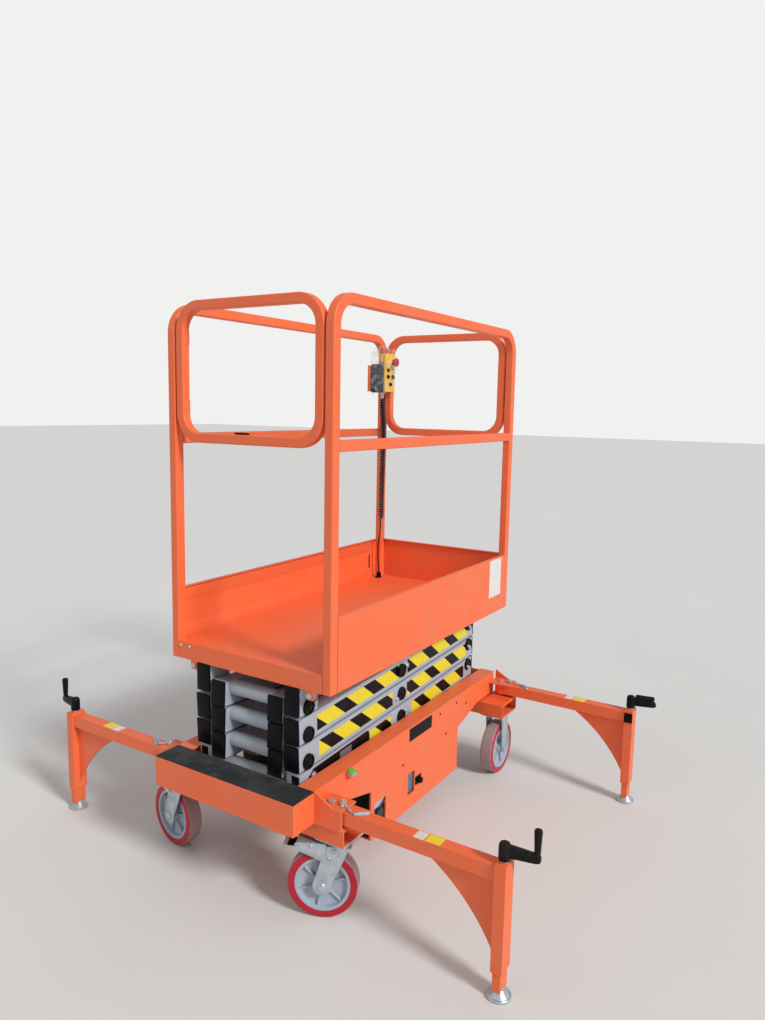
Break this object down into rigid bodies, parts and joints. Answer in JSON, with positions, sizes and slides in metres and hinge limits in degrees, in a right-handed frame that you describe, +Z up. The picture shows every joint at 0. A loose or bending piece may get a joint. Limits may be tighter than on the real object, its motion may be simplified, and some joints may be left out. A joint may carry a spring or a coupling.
{
  "type": "mobile mini scissor lift",
  "caption": "Push-around scissor lift with guarded platform, fold-out outriggers with screw jacks, castors and a step, folded down.",
  "frame": {"origin": "on the floor under the middle of the whole outline", "axes": "+Z up, +X along the platform away from the step, +Y to the machine's left"},
  "size_m": [1.321, 1.7746, 1.708],
  "materials": {
    "orange_paint": "satin powder coat",
    "grey_paint": "satin paint",
    "zinc": "zinc plate",
    "black_steel": "black oxide",
    "chrome_rod": "hard chrome",
    "black_plastic": "moulded",
    "grey_plastic": "moulded",
    "yellow_plastic": "moulded",
    "tread_grit": "gritted mat",
    "red_tyre": "cast polyurethane",
    "core_plastic": "moulded nylon",
    "vial_green": "clear green",
    "cord_black": "cable sheath"
  },
  "bodies": {
    "chassis": {"chassis_frame": "orange_paint", "step_box": "orange_paint", "step_tread": "tread_grit", "power_pack": "black_plastic", "base_tracks": "grey_paint", "panel_inserts": "black_plastic", "corner_pins": "zinc", "level_vial": "vial_green", "castor_mounts": "zinc"},
    "castor_near_right": {"castor_fork_near_right": "zinc"},
    "castor_near_left": {"castor_fork_near_left": "zinc"},
    "wheel_near_right": {"tyre_near_right": "red_tyre", "wheel_core_near_right": "core_plastic"},
    "wheel_near_left": {"tyre_near_left": "red_tyre", "wheel_core_near_left": "core_plastic"},
    "wheel_far_right": {"tyre_far_right": "red_tyre", "wheel_core_far_right": "core_plastic"},
    "wheel_far_left": {"tyre_far_left": "red_tyre", "wheel_core_far_left": "core_plastic"},
    "outrigger_near_right": {"outrigger_arm_near_right": "orange_paint", "crank_near_right": "black_steel"},
    "jack_near_right": {"jack_leg_near_right": "orange_paint", "jack_pad_near_right": "zinc"},
    "outrigger_near_left": {"outrigger_arm_near_left": "orange_paint", "crank_near_left": "black_steel"},
    "jack_near_left": {"jack_leg_near_left": "orange_paint", "jack_pad_near_left": "zinc"},
    "outrigger_far_right": {"outrigger_arm_far_right": "orange_paint", "crank_far_right": "black_steel"},
    "jack_far_right": {"jack_leg_far_right": "orange_paint", "jack_pad_far_right": "zinc"},
    "outrigger_far_left": {"outrigger_arm_far_left": "orange_paint", "crank_far_left": "black_steel"},
    "jack_far_left": {"jack_leg_far_left": "orange_paint", "jack_pad_far_left": "zinc"},
    "outer_1": {"outer_frame_1": "grey_paint", "pivot_pins_1": "black_steel"},
    "inner_1": {"inner_frame_1": "grey_paint", "base_roller": "zinc"},
    "outer_2": {"outer_frame_2": "grey_paint", "pivot_pins_2": "black_steel"},
    "inner_2": {"inner_frame_2": "grey_paint"},
    "outer_3": {"outer_frame_3": "grey_paint", "pivot_pins_3": "black_steel", "deck_roller": "zinc"},
    "inner_3": {"inner_frame_3": "grey_paint"},
    "barrel": {"cylinder_barrel": "black_steel"},
    "ram": {"cylinder_rod": "chrome_rod"},
    "platform": {"deck": "orange_paint", "deck_frame": "orange_paint", "pivot_tubes": "grey_paint", "toe_boards": "orange_paint", "side_guards": "orange_paint", "far_loop": "orange_paint", "control_box": "grey_plastic", "control_face": "yellow_plastic", "cord_gland": "black_plastic", "cord_coil": "cord_black", "cord_lead": "cord_black"},
    "gate": {"entry_gate": "orange_paint"}
  },
  "joints": [
    {"name": "lift", "type": "hinge", "parent": "chassis", "child": "outer_1", "pos_m": [-0.5125, 0, 0.348], "axis": [0, -1, 0], "range_deg": [0, 51.8]},
    {"name": "cross_1", "type": "hinge", "parent": "outer_1", "child": "inner_1", "pos_m": [-0.00532, 0, 0.388], "axis": [0, -1, 0], "range_deg": [-103.61, 0]},
    {"name": "link_2", "type": "hinge", "parent": "inner_1", "child": "outer_2", "pos_m": [-0.5125, 0, 0.428], "axis": [0, -1, 0], "range_deg": [0, 103.61]},
    {"name": "cross_2", "type": "hinge", "parent": "outer_2", "child": "inner_2", "pos_m": [-0.00532, 0, 0.468], "axis": [0, -1, 0], "range_deg": [-103.61, 0]},
    {"name": "link_3", "type": "hinge", "parent": "inner_2", "child": "outer_3", "pos_m": [-0.5125, 0, 0.508], "axis": [0, -1, 0], "range_deg": [0, 103.61]},
    {"name": "cross_3", "type": "hinge", "parent": "outer_3", "child": "inner_3", "pos_m": [-0.00532, 0, 0.548], "axis": [0, -1, 0], "range_deg": [-103.61, 0]},
    {"name": "platform_level", "type": "hinge", "parent": "inner_3", "child": "platform", "pos_m": [-0.5125, 0, 0.588], "axis": [0, -1, 0], "range_deg": [0, 51.81]},
    {"name": "cylinder_pivot", "type": "hinge", "parent": "inner_1", "child": "barrel", "pos_m": [-0.16516, 0, 0.38054], "axis": [0, -1, 0], "range_deg": [0, 103.94]},
    {"name": "cylinder_stroke", "type": "slide", "parent": "barrel", "child": "ram", "axis": [0.9766, 0, 0.2149], "range_m": [0, 0.1822]},
    {"name": "gate_swing", "type": "hinge", "parent": "platform", "child": "gate", "pos_m": [-0.5155, 0.256, 1.5], "axis": [0, 0, 1], "range_deg": [0, 90]},
    {"name": "outrigger_swing_near_right", "type": "hinge", "parent": "chassis", "child": "outrigger_near_right", "pos_m": [-0.5375, -0.295, 0.32], "axis": [0, 0, 1], "range_deg": [0, 90]},
    {"name": "jack_screw_near_right", "type": "slide", "parent": "outrigger_near_right", "child": "jack_near_right", "axis": [0, 0, 1], "range_m": [0, 0.035]},
    {"name": "castor_swivel_near_right", "type": "hinge", "parent": "chassis", "child": "castor_near_right", "pos_m": [-0.5015, -0.303, 0.22], "axis": [0, 0, 1], "continuous": true},
    {"name": "wheel_spin_near_right", "type": "hinge", "parent": "castor_near_right", "child": "wheel_near_right", "pos_m": [-0.52254, -0.25986, 0.1], "axis": [-0.8988, -0.4384, 0], "continuous": true},
    {"name": "outrigger_swing_near_left", "type": "hinge", "parent": "chassis", "child": "outrigger_near_left", "pos_m": [-0.5375, 0.295, 0.32], "axis": [0, 0, -1], "range_deg": [0, 90]},
    {"name": "jack_screw_near_left", "type": "slide", "parent": "outrigger_near_left", "child": "jack_near_left", "axis": [0, 0, 1], "range_m": [0, 0.035]},
    {"name": "castor_swivel_near_left", "type": "hinge", "parent": "chassis", "child": "castor_near_left", "pos_m": [-0.5015, 0.303, 0.22], "axis": [0, 0, 1], "continuous": true},
    {"name": "wheel_spin_near_left", "type": "hinge", "parent": "castor_near_left", "child": "wheel_near_left", "pos_m": [-0.49317, 0.35027, 0.1], "axis": [-0.9848, 0.1736, 0], "continuous": true},
    {"name": "outrigger_swing_far_right", "type": "hinge", "parent": "chassis", "child": "outrigger_far_right", "pos_m": [0.6045, -0.295, 0.32], "axis": [0, 0, -1], "range_deg": [0, 90]},
    {"name": "jack_screw_far_right", "type": "slide", "parent": "outrigger_far_right", "child": "jack_far_right", "axis": [0, 0, 1], "range_m": [0, 0.035]},
    {"name": "wheel_spin_far_right", "type": "hinge", "parent": "chassis", "child": "wheel_far_right", "pos_m": [0.5605, -0.303, 0.1], "axis": [0, 1, 0], "continuous": true},
    {"name": "outrigger_swing_far_left", "type": "hinge", "parent": "chassis", "child": "outrigger_far_left", "pos_m": [0.6045, 0.295, 0.32], "axis": [0, 0, 1], "range_deg": [0, 90]},
    {"name": "jack_screw_far_left", "type": "slide", "parent": "outrigger_far_left", "child": "jack_far_left", "axis": [0, 0, 1], "range_m": [0, 0.035]},
    {"name": "wheel_spin_far_left", "type": "hinge", "parent": "chassis", "child": "wheel_far_left", "pos_m": [0.5605, 0.303, 0.1], "axis": [0, 1, 0], "continuous": true}
  ],
  "couplings": [
    {"joint": "cross_1", "follows": "lift", "ratio": -2},
    {"joint": "link_2", "follows": "lift", "ratio": 2},
    {"joint": "cross_2", "follows": "lift", "ratio": -2},
    {"joint": "link_3", "follows": "lift", "ratio": 2},
    {"joint": "cross_3", "follows": "lift", "ratio": -2},
    {"joint": "platform_level", "follows": "lift", "ratio": 1},
    {"joint": "cylinder_pivot", "follows": "lift", "ratio": 2.0064},
    {"joint": "cylinder_stroke", "follows": "lift", "m_per_rad": 0.20142}
  ]
}
